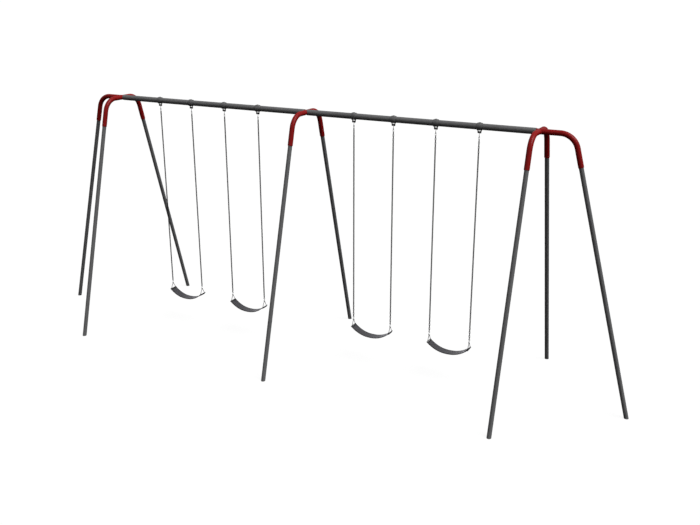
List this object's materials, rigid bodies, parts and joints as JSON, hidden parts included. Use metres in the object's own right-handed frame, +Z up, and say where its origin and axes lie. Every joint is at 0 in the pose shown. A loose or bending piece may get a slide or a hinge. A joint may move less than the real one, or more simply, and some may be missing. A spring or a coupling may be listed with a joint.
{
  "type": "tripod swing set",
  "caption": "Playground swing set: grey top rail on red bent-tube yokes with tripod ends and a two-legged middle frame, and rubber belt seats on coated chains.",
  "frame": {"origin": "on the ground under the middle of the top rail", "axes": "+X along the top rail to the right seen from the front, -Y to the front, +Z up"},
  "size_m": [9.7488, 2.7108, 3.712],
  "materials": {
    "leg_paint": "satin",
    "rail_paint": "satin",
    "yoke_paint": "gloss",
    "hanger_paint": "satin",
    "galvanised": "satin",
    "chain_coat": "matt",
    "belt_rubber": "matt"
  },
  "bodies": {
    "frame": {"rail_left": "rail_paint", "rail_right": "rail_paint", "yoke_left": "yoke_paint", "yoke_middle": "yoke_paint", "yoke_right": "yoke_paint", "leg_left_front": "leg_paint", "leg_left_rear": "leg_paint", "leg_middle_front": "leg_paint", "leg_middle_rear": "leg_paint", "leg_right_front": "leg_paint", "leg_right_rear": "leg_paint", "leg_left_outer": "leg_paint", "leg_right_outer": "leg_paint", "hanger_1_left": "hanger_paint", "hanger_1_right": "hanger_paint", "hanger_2_left": "hanger_paint", "hanger_2_right": "hanger_paint", "hanger_3_left": "hanger_paint", "hanger_3_right": "hanger_paint", "hanger_4_left": "hanger_paint", "hanger_4_right": "hanger_paint"},
    "swing_1": {"upper_hook_1_left": "galvanised", "chain_1_left": "chain_coat", "lower_hook_1_left": "galvanised", "upper_hook_1_right": "galvanised", "chain_1_right": "chain_coat", "lower_hook_1_right": "galvanised"},
    "seat_1": {"belt_seat_1": "belt_rubber", "triangle_1_left": "galvanised", "triangle_1_right": "galvanised"},
    "swing_2": {"upper_hook_2_left": "galvanised", "chain_2_left": "chain_coat", "lower_hook_2_left": "galvanised", "upper_hook_2_right": "galvanised", "chain_2_right": "chain_coat", "lower_hook_2_right": "galvanised"},
    "seat_2": {"belt_seat_2": "belt_rubber", "triangle_2_left": "galvanised", "triangle_2_right": "galvanised"},
    "swing_3": {"upper_hook_3_left": "galvanised", "chain_3_left": "chain_coat", "lower_hook_3_left": "galvanised", "upper_hook_3_right": "galvanised", "chain_3_right": "chain_coat", "lower_hook_3_right": "galvanised"},
    "seat_3": {"belt_seat_3": "belt_rubber", "triangle_3_left": "galvanised", "triangle_3_right": "galvanised"},
    "swing_4": {"upper_hook_4_left": "galvanised", "chain_4_left": "chain_coat", "lower_hook_4_left": "galvanised", "upper_hook_4_right": "galvanised", "chain_4_right": "chain_coat", "lower_hook_4_right": "galvanised"},
    "seat_4": {"belt_seat_4": "belt_rubber", "triangle_4_left": "galvanised", "triangle_4_right": "galvanised"}
  },
  "joints": [
    {"name": "swing_1_pivot", "type": "hinge", "parent": "frame", "child": "swing_1", "pos_m": [-2.331, 0, 3.585], "axis": [1, 0, 0], "range_deg": [-60, 60]},
    {"name": "seat_1_tilt", "type": "hinge", "parent": "swing_1", "child": "seat_1", "pos_m": [-2.331, 0, 0.60699], "axis": [1, 0, 0], "range_deg": [-35, 35]},
    {"name": "swing_2_pivot", "type": "hinge", "parent": "frame", "child": "swing_2", "pos_m": [-1.104, 0, 3.585], "axis": [1, 0, 0], "range_deg": [-60, 60]},
    {"name": "seat_2_tilt", "type": "hinge", "parent": "swing_2", "child": "seat_2", "pos_m": [-1.104, 0, 0.60699], "axis": [1, 0, 0], "range_deg": [-35, 35]},
    {"name": "swing_3_pivot", "type": "hinge", "parent": "frame", "child": "swing_3", "pos_m": [1.104, 0, 3.585], "axis": [1, 0, 0], "range_deg": [-60, 60]},
    {"name": "seat_3_tilt", "type": "hinge", "parent": "swing_3", "child": "seat_3", "pos_m": [1.104, 0, 0.60699], "axis": [1, 0, 0], "range_deg": [-35, 35]},
    {"name": "swing_4_pivot", "type": "hinge", "parent": "frame", "child": "swing_4", "pos_m": [2.331, 0, 3.585], "axis": [1, 0, 0], "range_deg": [-60, 60]},
    {"name": "seat_4_tilt", "type": "hinge", "parent": "swing_4", "child": "seat_4", "pos_m": [2.331, 0, 0.60699], "axis": [1, 0, 0], "range_deg": [-35, 35]}
  ]
}
